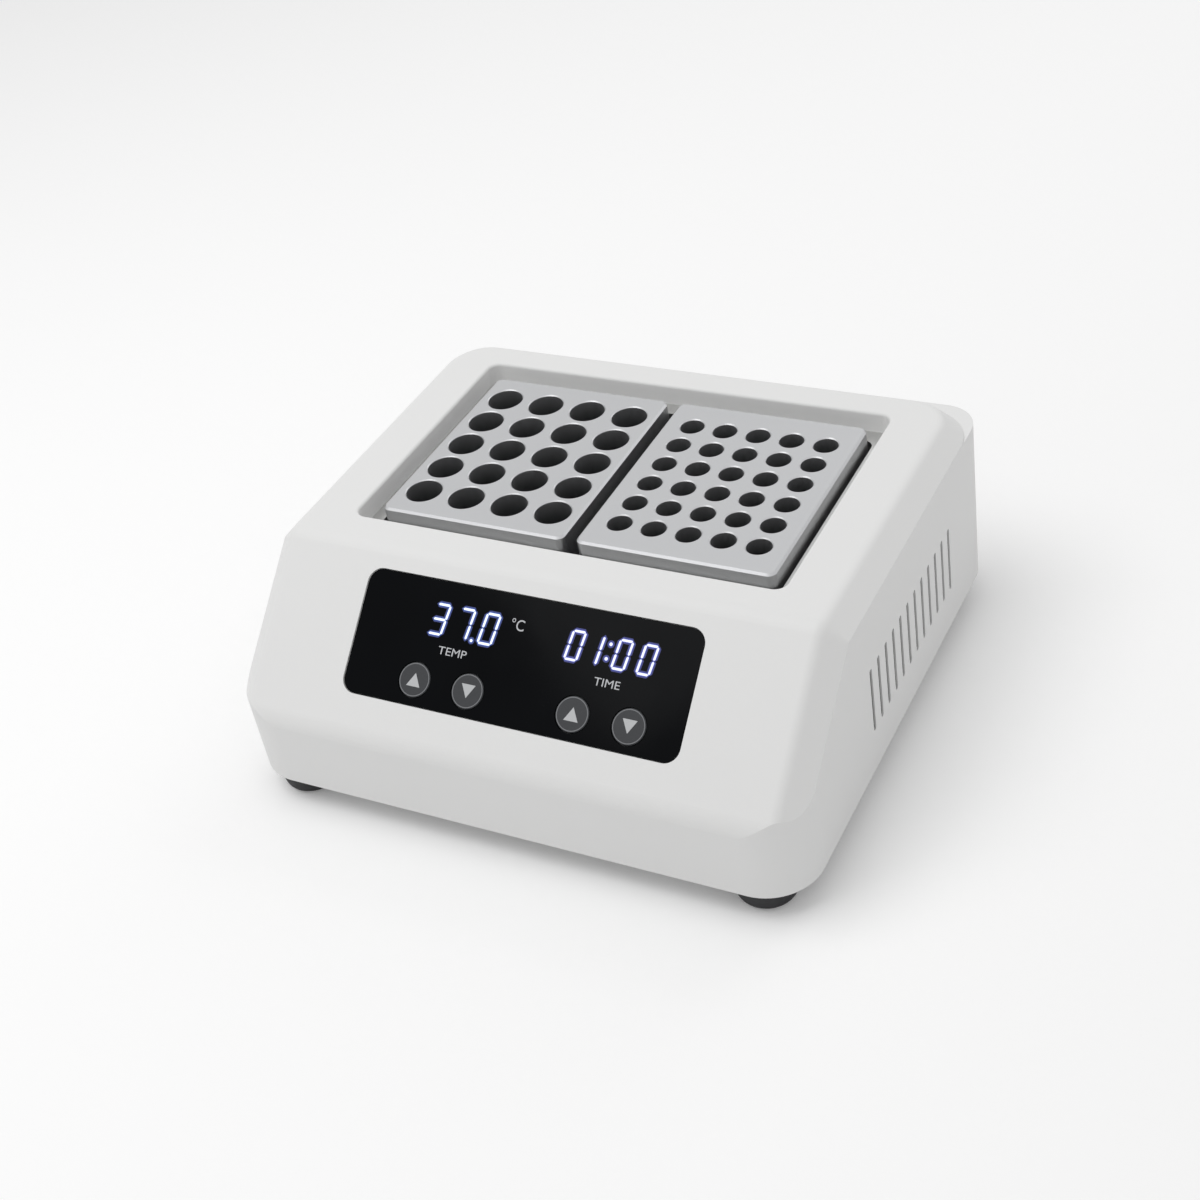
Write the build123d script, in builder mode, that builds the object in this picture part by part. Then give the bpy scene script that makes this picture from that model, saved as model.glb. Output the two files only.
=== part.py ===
import os
from math import atan2, cos, radians, sin, tan

from build123d import *

os.makedirs("parts", exist_ok=True)

# Dry bath incubator: a moulded housing with a sloped control panel, a heated well in the deck,
# and two drilled aluminium blocks that lift out of it. Millimetres. X runs to the right, Y to
# the back and Z up. The origin is on the bench, under the middle of the whole outline.

# Housing
housing_width = 226.0
housing_depth = 200.0
housing_height = 77.5
wall = 3.0
front_face_height = 31.0
deck_setback = 53.6
front_corner_radius = 20.0
rear_corner_radius = 14.0
fold_radius = 9.5
side_band = 8.0
band_round = 5.0
ledge_depth = 4.0
ledge_drop = 8.6
deck_corner_radius = 23.0

# Feet and the screws through them
foot_height = 10.5
foot_top_diameter = 25.0
foot_bottom_diameter = 21.0
foot_edge_round = 4.0
foot_inset_x = 19.0
foot_inset_y = 14.0
foot_recess_depth = 4.5
foot_screw_diameter = 4.0
foot_screw_head = 7.6
foot_screw_head_height = 2.4
foot_screw_length = 24.0
foot_boss_length = 21.0

# Small screws, and the clearances round all screws
small_screw_diameter = 3.0
small_screw_head = 5.6
small_screw_head_height = 1.9
screw_clearance = 0.2
thread_clearance = 0.05
boss_wall = 2.4
hex_key_share = 0.45
screw_tip_gap = 0.3

# Base plate
base_thickness = 2.5
base_gap = 0.3
base_slot_length = 26.0
base_slot_width = 2.4
base_slot_pitch = 7.0
base_slot_count = 6
base_slot_x = 70.0
base_slot_y = 40.0

# Side vents
vent_count = 12
vent_pitch = 7.52
vent_length = 27.7
vent_width = 2.1
vent_height = 41.2
vent_offset_y = 14.0

# Well in the deck
well_width = 172.6
well_depth = 108.8
well_offset_y = 21.7
well_corner_radius = 4.5
well_skirt_wall = 2.5
well_skirt_depth = 8.5
well_edge_round = 1.2

# Blocks
block_width = 77.0
block_depth = 93.0
block_height = 50.0
block_gap = 5.0
block_recess = 1.5
block_corner_radius = 3.0
block_chamfer = 0.8
well_rim_chamfer = 0.4
large_bore = 14.0
large_bore_depth = 44.0
large_pitch_x = 18.48
large_pitch_y = 16.2
large_columns = 4
large_rows = 5
small_bore = 9.4
small_bore_depth = 40.0
small_pitch_x = 13.58
small_pitch_y = 12.8
small_columns = 5
small_rows = 6

# Liner, heater and insulation
seat_gap = 0.3
liner_wall = 1.2
liner_gap = 1.5
liner_corner_radius = 4.0
liner_lip = 6.0
flange_width = 12.0
flange_corner_radius = 8.0
heater_plate_thickness = 6.0
clamp_plate_thickness = 2.0
insulation_wall = 7.0
insulation_board_thickness = 5.0
insulation_gap = 0.2
insulation_top_gap = 1.0
liner_screw_count = 3
liner_screw_pitch = 42.0
liner_screw_from_well = 4.4
liner_screw_length = 5.0
clamp_screw_length = 6.5
clamp_screw_pitch_x = 74.0
sensor_diameter = 5.0
sensor_length = 14.0
sensor_bore_depth = 4.0
sensor_flange = 10.0
sensor_flange_thickness = 1.0
cutout_diameter = 16.0
cutout_height = 9.0
cutout_place_x = 38.0

# Control panel
panel_width = 133.9
panel_height = 46.1
panel_centre = 39.0
panel_thickness = 1.6
panel_recess = 0.6
panel_gap = 0.3
panel_corner_radius = 5.5
panel_ledge = 1.6
key_diameter = 12.8
key_gap = 0.3
key_height_on_slope = 25.2
key_places = {
    "temp_up_key": -38.3,
    "temp_down_key": -16.4,
    "time_up_key": 25.3,
    "time_down_key": 46.9,
}
key_proud = 0.2
key_edge_round = 0.5
key_flange = 14.4
key_flange_thickness = 1.0
key_stem = 4.0
key_travel = 0.8
key_spare = 0.2

# Control board behind the panel
board_thickness = 1.6
board_depth_below = 11.0
board_width = 150.0
board_height = 40.0
board_screw_spacing_x = 142.0
board_screw_spacing_y = 31.0
board_corner_radius = 2.0
board_screw_length = 7.0
display_width = 42.0
display_height = 16.0
display_gap = 0.3
display_height_on_slope = 46.8
display_places = {"temp_display": -21.5, "time_display": 34.0}
switch_side = 6.2
switch_body_height = 2.6
plunger_diameter = 3.4
plunger_height = 1.0

# Power board on the base plate
power_board_width = 96.0
power_board_depth = 44.0
power_board_centre_x = -6.0
power_board_offset_y = -66.0
standoff_height = 5.0
power_screw_inset = 4.0
power_screw_length = 6.0
transformer_size = (34.0, 28.0, 22.0)
transformer_core_thickness = 10.0
transformer_coil_share = 0.6
capacitor_diameter = 10.0
capacitor_height = 18.0
capacitor_pitch = 13.0
capacitor_offset_x = 6.0
capacitor_edge_round = 1.0
heat_sink_size = (22.0, 12.0, 20.0)
heat_sink_fins = 5
heat_sink_fin = 1.2
heat_sink_base = 3.0

# Power inlet, its fuse drawer and the power switch, on the rear
inlet_x = 70.0
inlet_z = 45.0
inlet_flange_width = 33.0
inlet_flange_height = 38.0
inlet_flange_thickness = 2.5
inlet_body_width = 28.0
inlet_body_height = 34.0
inlet_body_depth = 17.0
inlet_corner_radius = 2.0
socket_width = 24.2
socket_height = 16.4
socket_depth = 15.0
socket_chamfer = 4.5
socket_above_middle = 6.0
pin_width = 2.0
pin_height = 4.0
pin_spacing = 14.0
earth_offset = 4.0
pin_reach = 13.0
pin_tail = 3.5
drawer_width = 22.0
drawer_height = 8.0
drawer_depth = 12.0
drawer_gap = 0.3
drawer_below_middle = 10.5
drawer_front_thickness = 1.2
drawer_front_margin = 1.2
drawer_travel = 15.0
fuse_diameter = 5.0
fuse_length = 20.0
fuse_gap = 0.1
cutout_gap = 0.2
snap_lug_width = 8.0
snap_lug_reach = 1.0
snap_lug_thickness = 2.4
rocker_x = -70.0
rocker_z = 45.0
rocker_frame_width = 15.0
rocker_frame_height = 21.0
rocker_frame_thickness = 1.5
rocker_body_width = 13.0
rocker_body_height = 19.0
rocker_body_depth = 14.0
rocker_wall = 1.2
rocker_gap = 0.3
rocker_pocket_depth = 12.0
rocker_angle = 9.0
rocker_lift = 0.2
rocker_tail = 2.5
rocker_pivot_below = 2.2
rocker_pin_diameter = 2.4
rocker_pin_length = 0.9
rocker_pin_gap = 0.15

# Worked out from the sizes above
floor_z = foot_height
deck_z = foot_height + housing_height
inlet_proud = inlet_flange_thickness + drawer_gap + drawer_front_thickness
front_y = -(housing_depth + inlet_proud) / 2
rear_y = front_y + housing_depth
middle_y = (front_y + rear_y) / 2
well_centre_y = middle_y + well_offset_y
vent_centre_y = middle_y + vent_offset_y
power_board_centre_y = middle_y + power_board_offset_y
side_x = housing_width / 2
fold_z = floor_z + front_face_height
slope_rise = deck_z - fold_z
slope_angle = atan2(slope_rise, deck_setback)
deck_front_y = front_y + deck_setback
ledge_z = deck_z - ledge_drop
base_top_z = floor_z + base_thickness
foot_x = side_x - foot_inset_x
foot_places = {
    "foot_front_left": (-foot_x, front_y + foot_inset_y),
    "foot_front_right": (foot_x, front_y + foot_inset_y),
    "foot_rear_left": (-foot_x, rear_y - foot_inset_y),
    "foot_rear_right": (foot_x, rear_y - foot_inset_y),
}
foot_screw_hole = foot_screw_diameter + 2 * screw_clearance
foot_boss = foot_screw_diameter + 2 * boss_wall
small_screw_hole = small_screw_diameter + 2 * screw_clearance
small_boss = small_screw_diameter + 2 * boss_wall
skirt_bottom_z = deck_z - well_skirt_depth
block_top_z = deck_z - block_recess
block_bottom_z = block_top_z - block_height
block_places = {
    "left_block": -(block_gap + block_width) / 2,
    "right_block": (block_gap + block_width) / 2,
}
plate_top_z = block_bottom_z - seat_gap
plate_bottom_z = plate_top_z - heater_plate_thickness
lip_bottom_z = plate_bottom_z - liner_wall
clamp_bottom_z = lip_bottom_z - clamp_plate_thickness
liner_inner_width = 2 * block_width + block_gap + 2 * liner_gap
liner_inner_depth = block_depth + 2 * liner_gap
liner_width = liner_inner_width + 2 * liner_wall
liner_depth = liner_inner_depth + 2 * liner_wall
flange_bottom_z = skirt_bottom_z - liner_wall
liner_screw_x = well_width / 2 + liner_screw_from_well
liner_screw_places = [
    (side * liner_screw_x, well_centre_y + (place - (liner_screw_count - 1) / 2) * liner_screw_pitch)
    for side in (-1, 1)
    for place in range(liner_screw_count)
]
clamp_screw_y = (liner_inner_depth - liner_lip) / 2
clamp_screw_places = [
    (across * clamp_screw_pitch_x, well_centre_y + side * clamp_screw_y)
    for side in (-1, 1)
    for across in (-1, 0, 1)
]

# The sloped front: its plane starts at the middle of the lower fold, with X to the right and Y
# up the slope. The rear panel's plane faces back, so its X runs to the left of the housing.
slope = Plane(
    origin=(0, front_y, fold_z),
    x_dir=(1, 0, 0),
    z_dir=(0, -sin(slope_angle), cos(slope_angle)),
)
board_top = -board_depth_below
panel_top = -panel_recess
panel_bottom = panel_top - panel_thickness
key_flange_top = panel_bottom - key_gap
plunger_top = board_top + switch_body_height + plunger_height
stem_bottom = plunger_top + key_travel + key_spare
board_screw_places = [
    (x * board_screw_spacing_x / 2, panel_centre + y * board_screw_spacing_y / 2)
    for x in (-1, 1)
    for y in (-1, 1)
]


def above_slope(height):
    """A plane parallel to the sloped front, at a height above it."""
    return slope.offset(height)


def on_rear(x, z, out=0.0):
    """A plane on the rear face at a place on it, facing back, and a distance out from it."""
    return Plane(origin=(x, rear_y + out, z), x_dir=(-1, 0, 0), z_dir=(0, 1, 0))


def rim_edges(body, top):
    """The edges round the sides and the top of the plain form, without the bottom and the folds."""
    sides = body.faces().filter_by(Plane.YZ).sort_by(Axis.X)
    level = body.faces().sort_by(Axis.Z)[-1]
    edges = ShapeList(sides[0].edges() + sides[-1].edges() + level.edges().filter_by(GeomType.CIRCLE))
    edges += level.edges().group_by(Axis.Y)[-1]
    bottom = body.edges().group_by(Axis.Z)[0]
    rear = body.edges().filter_by(Axis.Z).filter_by(lambda edge: edge.center().Y > 0)
    return edges.filter_by(lambda edge: edge not in bottom and edge not in rear)


def housing_form(inset, rounded):
    """The housing's outside as one solid, with every face but the bottom moved in by inset."""
    width = housing_width - 2 * inset
    depth = housing_depth - 2 * inset
    top = deck_z - inset
    front = front_y + inset
    plateau_rear = rear_y - ledge_depth - inset
    lower_fold_z = fold_z - inset * tan(radians(45) - slope_angle / 2)
    upper_fold_y = deck_front_y + inset * tan(slope_angle / 2)
    band = side_band - inset * (2 - 2**0.5)
    with BuildPart() as form:
        # the side view, from the front face over both folds to the rear of the deck
        with BuildSketch(Plane.YZ) as side_view:
            with BuildLine():
                Polyline(
                    (front, floor_z),
                    (front, lower_fold_z),
                    (upper_fold_y, top),
                    (plateau_rear, top),
                    (plateau_rear, floor_z),
                    close=True,
                )
            make_face()
            fillet(side_view.vertices().group_by(Axis.X)[0].sort_by(Axis.Y)[-1], fold_radius - inset)
            fillet(side_view.vertices().group_by(Axis.Y)[-1].sort_by(Axis.X)[0], fold_radius - inset)
        extrude(amount=width / 2, both=True)
        # wide rear corners, then the inclined band that runs round the top and beside the slope
        fillet(form.edges().filter_by(Axis.Z).group_by(Axis.Y)[-1], deck_corner_radius - inset)
        chamfer(rim_edges(form, top), band)
        if rounded:
            inner_x = width / 2 - band
            inner = form.edges().filter_by(
                lambda edge: abs(abs(edge.center().X) - inner_x) < 0.01
                or (edge.center().Z > top - 0.01 and edge.center().Y > deck_front_y + band)
            )
            fillet(inner, band_round)
        # the body below the band reaches further back, as a ledge, with tighter corners
        with BuildSketch(Plane.XY.offset(floor_z)):
            with Locations((0, (rear_y - inset) / 2)):
                lower = Rectangle(width, rear_y - inset)
            fillet(lower.vertices().group_by(Axis.Y)[-1], rear_corner_radius - inset)
        extrude(amount=ledge_z - inset - floor_z)
        # the upright front corners
        with BuildSketch(Plane.XY.offset(floor_z)):
            with Locations((0, middle_y)):
                outline = Rectangle(width, depth)
            fillet(outline.vertices().group_by(Axis.Y)[0], front_corner_radius - inset)
        extrude(amount=housing_height, mode=Mode.INTERSECT)
    return form.part


def screws(plane, places, diameter, head, head_height, length):
    """Socket-head screws that stand on a plane, heads outward, as one group of solids."""
    with BuildPart() as group:
        with BuildSketch(plane):
            with Locations(*places):
                Circle(head / 2)
        extrude(amount=head_height)
        with BuildSketch(plane):
            with Locations(*places):
                Circle(diameter / 2)
        extrude(amount=-length)
        with BuildSketch(plane.offset(head_height)):
            with Locations(*places):
                RegularPolygon(head * hex_key_share / 2, 6)
        extrude(amount=-head_height / 2, mode=Mode.SUBTRACT)
    return group.part


def finish(part, name):
    """Label a finished piece and write it."""
    part.label = name
    export_step(part, f"parts/{name}.step")


outer_form = housing_form(0.0, True)
inner_form = housing_form(wall, False)

# Screw bosses inside the top cover: four tall ones over the feet, trimmed to the housing's
# outside, each tied to the wall behind it by a rib
with BuildPart() as foot_bosses:
    with BuildSketch(Plane.XY.offset(base_top_z)):
        with Locations(*foot_places.values()):
            Circle(foot_boss / 2)
        with Locations(*[(x, y) for x in (-foot_x, foot_x) for y in (front_y, rear_y)]):
            Rectangle(boss_wall, 2 * foot_inset_y)
    extrude(amount=foot_boss_length)
    add(outer_form, mode=Mode.INTERSECT)

# Top cover: a moulded shell with the deck, the sloped front, the well's skirt and the vents
with BuildPart() as top_cover:
    add(outer_form)
    add(inner_form, mode=Mode.SUBTRACT)
    # the skirt round the well, and the bosses that the liner's flange is screwed to
    with BuildSketch(Plane.XY.offset(skirt_bottom_z)):
        with Locations((0, well_centre_y)):
            RectangleRounded(
                well_width + 2 * well_skirt_wall,
                well_depth + 2 * well_skirt_wall,
                well_corner_radius + well_skirt_wall,
            )
        with Locations(*liner_screw_places):
            Circle(small_boss / 2)
    extrude(amount=well_skirt_depth - wall / 2)
    with BuildSketch(Plane.XY.offset(skirt_bottom_z)):
        with Locations((0, well_centre_y)):
            RectangleRounded(well_width, well_depth, well_corner_radius)
    extrude(amount=well_skirt_depth, mode=Mode.SUBTRACT)
    mouth = top_cover.edges().group_by(Axis.Z)[-1].filter_by(
        lambda edge: abs(edge.center().X) < well_width / 2 + 0.01
        and abs(edge.center().Y - well_centre_y) < well_depth / 2 + 0.01
    )
    fillet(mouth, well_edge_round)
    with BuildSketch(Plane.XY.offset(skirt_bottom_z)):
        with Locations(*liner_screw_places):
            Circle(small_screw_diameter / 2 + thread_clearance)
    extrude(amount=liner_screw_length - liner_wall + screw_tip_gap, mode=Mode.SUBTRACT)
    # bosses over the feet
    add(foot_bosses.part)
    with BuildSketch(Plane.XY.offset(base_top_z)):
        with Locations(*foot_places.values()):
            Circle(foot_screw_diameter / 2 + thread_clearance)
    extrude(amount=foot_recess_depth + foot_screw_length + screw_tip_gap - base_top_z, mode=Mode.SUBTRACT)
    # the recess that the control panel lies in, with a window inside its ledge
    with BuildSketch(above_slope(0)):
        with Locations((0, panel_centre)):
            RectangleRounded(
                panel_width + 2 * panel_gap, panel_height + 2 * panel_gap, panel_corner_radius + panel_gap
            )
    extrude(amount=panel_bottom, mode=Mode.SUBTRACT)
    with BuildSketch(above_slope(0)):
        with Locations((0, panel_centre)):
            RectangleRounded(
                panel_width - 2 * panel_ledge, panel_height - 2 * panel_ledge, panel_corner_radius - panel_ledge
            )
    extrude(amount=-2 * wall, mode=Mode.SUBTRACT)
    # bosses that the control board is screwed to
    with BuildSketch(above_slope(board_top)):
        with Locations(*board_screw_places):
            Circle(small_boss / 2)
    extrude(amount=board_depth_below - wall / 2)
    with BuildSketch(above_slope(board_top)):
        with Locations(*board_screw_places):
            Circle(small_screw_diameter / 2 + thread_clearance)
    extrude(amount=board_screw_length - board_thickness + screw_tip_gap, mode=Mode.SUBTRACT)
    # the vents, a row of upright slots through each side
    with BuildSketch(Plane.YZ.offset(-side_x - wall)):
        with Locations((vent_centre_y, vent_height)):
            with GridLocations(vent_pitch, 1, vent_count, 1):
                SlotOverall(vent_length, vent_width, rotation=90)
    extrude(amount=housing_width + 2 * wall, mode=Mode.SUBTRACT)
    # cut-outs for the power inlet and the switch
    with BuildSketch(on_rear(inlet_x, inlet_z)):
        Rectangle(inlet_body_width + 2 * cutout_gap, inlet_body_height + 2 * cutout_gap)
    extrude(amount=-2 * wall, mode=Mode.SUBTRACT)
    with BuildSketch(on_rear(rocker_x, rocker_z)):
        Rectangle(rocker_body_width + 2 * cutout_gap, rocker_body_height + 2 * cutout_gap)
    extrude(amount=-2 * wall, mode=Mode.SUBTRACT)
finish(top_cover.part, "top_cover")

# Base plate: closes the housing inside its rim, with cooling slots and the power board's standoffs
power_screw_places = [
    (
        power_board_centre_x + x * (power_board_width / 2 - power_screw_inset),
        power_board_centre_y + y * (power_board_depth / 2 - power_screw_inset),
    )
    for x in (-1, 1)
    for y in (-1, 1)
]
with BuildPart() as base_plate:
    base_inset = wall + base_gap
    with BuildSketch(Plane.XY.offset(floor_z)) as base_outline:
        with Locations((0, middle_y)):
            Rectangle(housing_width - 2 * base_inset, housing_depth - 2 * base_inset)
        fillet(base_outline.vertices().group_by(Axis.Y)[0], front_corner_radius - base_inset)
        fillet(base_outline.vertices().group_by(Axis.Y)[-1], rear_corner_radius - base_inset)
    extrude(amount=base_thickness)
    with BuildSketch(Plane.XY.offset(base_top_z)):
        with Locations(*power_screw_places):
            Circle(small_boss / 2)
    extrude(amount=standoff_height)
    with BuildSketch(Plane.XY.offset(base_top_z + standoff_height)):
        with Locations(*power_screw_places):
            Circle(small_screw_diameter / 2 + thread_clearance)
    extrude(amount=board_thickness - power_screw_length - screw_tip_gap, mode=Mode.SUBTRACT)
    with BuildSketch(Plane.XY.offset(floor_z)):
        with Locations(*foot_places.values()):
            Circle(foot_screw_hole / 2)
        with Locations((-base_slot_x, middle_y + base_slot_y), (base_slot_x, middle_y + base_slot_y)):
            with GridLocations(base_slot_pitch, 1, base_slot_count, 1):
                SlotOverall(base_slot_length, base_slot_width, rotation=90)
    extrude(amount=base_thickness, mode=Mode.SUBTRACT)
finish(base_plate.part, "base_plate")

# Rubber feet: a tapered dome each, recessed for the head of the screw that holds it
for name, place in foot_places.items():
    with BuildPart() as foot:
        with BuildSketch(Plane.XY.offset(floor_z)):
            with Locations(place):
                Circle(foot_top_diameter / 2)
        with BuildSketch(Plane.XY):
            with Locations(place):
                Circle(foot_bottom_diameter / 2)
        loft()
        fillet(foot.edges().group_by(Axis.Z)[0], foot_edge_round)
        with BuildSketch(Plane.XY):
            with Locations(place):
                Circle(foot_screw_head / 2 + screw_clearance)
        extrude(amount=foot_recess_depth, mode=Mode.SUBTRACT)
        with BuildSketch(Plane.XY):
            with Locations(place):
                Circle(foot_screw_hole / 2)
        extrude(amount=foot_height, mode=Mode.SUBTRACT)
    finish(foot.part, name)

# The screws through the feet, which hold the base plate and the cover together
finish(
    screws(
        Plane.XY.offset(foot_recess_depth).rotated((180, 0, 0)),
        [(x, -y) for x, y in foot_places.values()],
        foot_screw_diameter,
        foot_screw_head,
        foot_screw_head_height,
        foot_screw_length,
    ),
    "foot_screws",
)

# Control panel: a glossy plate in the recess of the slope, with a round hole for each key
with BuildPart() as control_panel:
    with BuildSketch(above_slope(panel_bottom)):
        with Locations((0, panel_centre)):
            RectangleRounded(panel_width, panel_height, panel_corner_radius)
        with Locations(*[(x, key_height_on_slope) for x in key_places.values()]):
            Circle(key_diameter / 2 + key_gap, mode=Mode.SUBTRACT)
    extrude(amount=panel_thickness)
finish(control_panel.part, "control_panel")

# Keys: a round cap in the panel's hole, a flange that keeps it there, and a stem to its switch
for name, x in key_places.items():
    with BuildPart() as key:
        with BuildSketch(above_slope(key_flange_top - key_flange_thickness)):
            with Locations((x, key_height_on_slope)):
                Circle(key_flange / 2)
        extrude(amount=key_flange_thickness)
        with BuildSketch(above_slope(key_flange_top)):
            with Locations((x, key_height_on_slope)):
                Circle(key_diameter / 2)
        extrude(amount=panel_top + key_proud - key_flange_top)
        cap_edge = key.edges().sort_by(lambda edge: slope.to_local_coords(edge.center()).Z)[-1]
        fillet(cap_edge, key_edge_round)
        with BuildSketch(above_slope(stem_bottom)):
            with Locations((x, key_height_on_slope)):
                Circle(key_stem / 2)
        extrude(amount=key_flange_top - key_flange_thickness - stem_bottom)
    finish(key.part, name)

# Control board, parallel to the panel
with BuildPart() as control_board:
    with BuildSketch(above_slope(board_top)):
        with Locations((0, panel_centre)):
            RectangleRounded(board_width, board_height, board_corner_radius)
        with Locations(*board_screw_places):
            Circle(small_screw_hole / 2, mode=Mode.SUBTRACT)
    extrude(amount=-board_thickness)
finish(control_board.part, "control_board")

finish(
    screws(
        above_slope(board_top - board_thickness).rotated((180, 0, 0)),
        [(x, -y) for x, y in board_screw_places],
        small_screw_diameter,
        small_screw_head,
        small_screw_head_height,
        board_screw_length,
    ),
    "control_board_screws",
)

# Seven-segment display modules on the board, close behind the panel
for name, x in display_places.items():
    with BuildPart() as display:
        with BuildSketch(above_slope(board_top)):
            with Locations((x, display_height_on_slope)):
                Rectangle(display_width, display_height)
        extrude(amount=panel_bottom - display_gap - board_top)
    finish(display.part, name)

# Push switches on the board, one under each key
with BuildPart() as key_switches:
    with BuildSketch(above_slope(board_top)):
        with Locations(*[(x, key_height_on_slope) for x in key_places.values()]):
            Rectangle(switch_side, switch_side)
    extrude(amount=switch_body_height)
    with BuildSketch(above_slope(board_top + switch_body_height)):
        with Locations(*[(x, key_height_on_slope) for x in key_places.values()]):
            Circle(plunger_diameter / 2)
    extrude(amount=plunger_height)
finish(key_switches.part, "key_switches")

# Well liner: a sheet-metal sleeve that hangs from the deck by its flange, with a lip under the
# heater plate
with BuildPart() as well_liner:
    with BuildSketch(Plane.XY.offset(flange_bottom_z)):
        with Locations((0, well_centre_y)):
            RectangleRounded(
                liner_width + 2 * flange_width, liner_depth + 2 * flange_width, flange_corner_radius
            )
    extrude(amount=liner_wall)
    with BuildSketch(Plane.XY.offset(lip_bottom_z)):
        with Locations((0, well_centre_y)):
            RectangleRounded(liner_width, liner_depth, liner_corner_radius + liner_wall)
    extrude(amount=flange_bottom_z - lip_bottom_z)
    with BuildSketch(Plane.XY.offset(plate_bottom_z)):
        with Locations((0, well_centre_y)):
            RectangleRounded(liner_inner_width, liner_inner_depth, liner_corner_radius)
    extrude(amount=skirt_bottom_z - plate_bottom_z, mode=Mode.SUBTRACT)
    with BuildSketch(Plane.XY.offset(lip_bottom_z)):
        with Locations((0, well_centre_y)):
            Rectangle(liner_inner_width - 2 * liner_lip, liner_inner_depth - 2 * liner_lip)
        with Locations(*clamp_screw_places):
            Circle(small_screw_hole / 2)
    extrude(amount=liner_wall, mode=Mode.SUBTRACT)
    with BuildSketch(Plane.XY.offset(flange_bottom_z)):
        with Locations(*liner_screw_places):
            Circle(small_screw_hole / 2)
    extrude(amount=liner_wall, mode=Mode.SUBTRACT)
finish(well_liner.part, "well_liner")

finish(
    screws(
        Plane.XY.offset(flange_bottom_z).rotated((180, 0, 0)),
        [(x, -y) for x, y in liner_screw_places],
        small_screw_diameter,
        small_screw_head,
        small_screw_head_height,
        liner_screw_length,
    ),
    "liner_screws",
)

# Heater plate: the flat floor that the blocks stand on, with a blind bore for the sensor
with BuildPart() as heater_plate:
    with BuildSketch(Plane.XY.offset(plate_bottom_z)):
        with Locations((0, well_centre_y)):
            RectangleRounded(
                liner_inner_width - 2 * seat_gap, liner_inner_depth - 2 * seat_gap, liner_corner_radius
            )
    extrude(amount=heater_plate_thickness)
    with BuildSketch(Plane.XY.offset(plate_bottom_z)):
        with Locations(*clamp_screw_places):
            Circle(small_screw_diameter / 2 + thread_clearance)
    extrude(
        amount=clamp_screw_length - clamp_plate_thickness - liner_wall + screw_tip_gap, mode=Mode.SUBTRACT
    )
    with BuildSketch(Plane.XY.offset(plate_bottom_z)):
        with Locations((0, well_centre_y)):
            Circle(sensor_diameter / 2 + screw_clearance)
    extrude(amount=sensor_bore_depth, mode=Mode.SUBTRACT)
finish(heater_plate.part, "heater_plate")

# Heating mat, held flat against the plate by the clamp plate below it
with BuildPart() as heating_mat:
    with BuildSketch(Plane.XY.offset(lip_bottom_z)):
        with Locations((0, well_centre_y)):
            Rectangle(
                liner_inner_width - 2 * liner_lip - 2 * seat_gap,
                liner_inner_depth - 2 * liner_lip - 2 * seat_gap,
            )
            Circle(sensor_diameter / 2 + screw_clearance, mode=Mode.SUBTRACT)
    extrude(amount=liner_wall)
finish(heating_mat.part, "heating_mat")

with BuildPart() as clamp_plate:
    with BuildSketch(Plane.XY.offset(clamp_bottom_z)):
        with Locations((0, well_centre_y)):
            RectangleRounded(liner_inner_width, liner_inner_depth, liner_corner_radius)
            Circle(sensor_diameter / 2 + screw_clearance, mode=Mode.SUBTRACT)
        with Locations(*clamp_screw_places):
            Circle(small_screw_hole / 2, mode=Mode.SUBTRACT)
    extrude(amount=clamp_plate_thickness)
finish(clamp_plate.part, "clamp_plate")

finish(
    screws(
        Plane.XY.offset(clamp_bottom_z).rotated((180, 0, 0)),
        [(x, -y) for x, y in clamp_screw_places],
        small_screw_diameter,
        small_screw_head,
        small_screw_head_height,
        clamp_screw_length,
    ),
    "clamp_screws",
)

# Insulation: a foam collar round the liner and a board under the clamp plate
with BuildPart() as insulation_collar:
    with BuildSketch(Plane.XY.offset(clamp_bottom_z)):
        with Locations((0, well_centre_y)):
            RectangleRounded(
                liner_width + 2 * insulation_wall,
                liner_depth + 2 * insulation_wall,
                liner_corner_radius + liner_wall + insulation_wall,
            )
            RectangleRounded(
                liner_width + 2 * insulation_gap,
                liner_depth + 2 * insulation_gap,
                liner_corner_radius + liner_wall,
                mode=Mode.SUBTRACT,
            )
    extrude(amount=flange_bottom_z - insulation_top_gap - small_screw_head_height - clamp_bottom_z)
finish(insulation_collar.part, "insulation_collar")

with BuildPart() as insulation_board:
    with BuildSketch(Plane.XY.offset(clamp_bottom_z - insulation_board_thickness)):
        with Locations((0, well_centre_y)):
            Rectangle(
                liner_inner_width - 2 * liner_lip - 2 * seat_gap,
                liner_inner_depth - 2 * liner_lip - 2 * seat_gap,
            )
            Circle(sensor_flange / 2 + screw_clearance, mode=Mode.SUBTRACT)
        with Locations((cutout_place_x, well_centre_y)):
            Circle(cutout_diameter / 2 + screw_clearance, mode=Mode.SUBTRACT)
    extrude(amount=insulation_board_thickness)
finish(insulation_board.part, "insulation_board")

# Temperature sensor in the heater plate's bore, and the thermal cut-out against the clamp plate
with BuildPart() as temperature_sensor:
    with BuildSketch(Plane.XY.offset(plate_bottom_z + sensor_bore_depth - screw_clearance)):
        with Locations((0, well_centre_y)):
            Circle(sensor_diameter / 2)
    extrude(amount=-sensor_length)
    with BuildSketch(Plane.XY.offset(clamp_bottom_z)):
        with Locations((0, well_centre_y)):
            Circle(sensor_flange / 2)
    extrude(amount=-sensor_flange_thickness)
finish(temperature_sensor.part, "temperature_sensor")

with BuildPart() as thermal_cutout:
    with BuildSketch(Plane.XY.offset(clamp_bottom_z)):
        with Locations((cutout_place_x, well_centre_y)):
            Circle(cutout_diameter / 2)
    extrude(amount=-cutout_height)
finish(thermal_cutout.part, "thermal_cutout")


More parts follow.
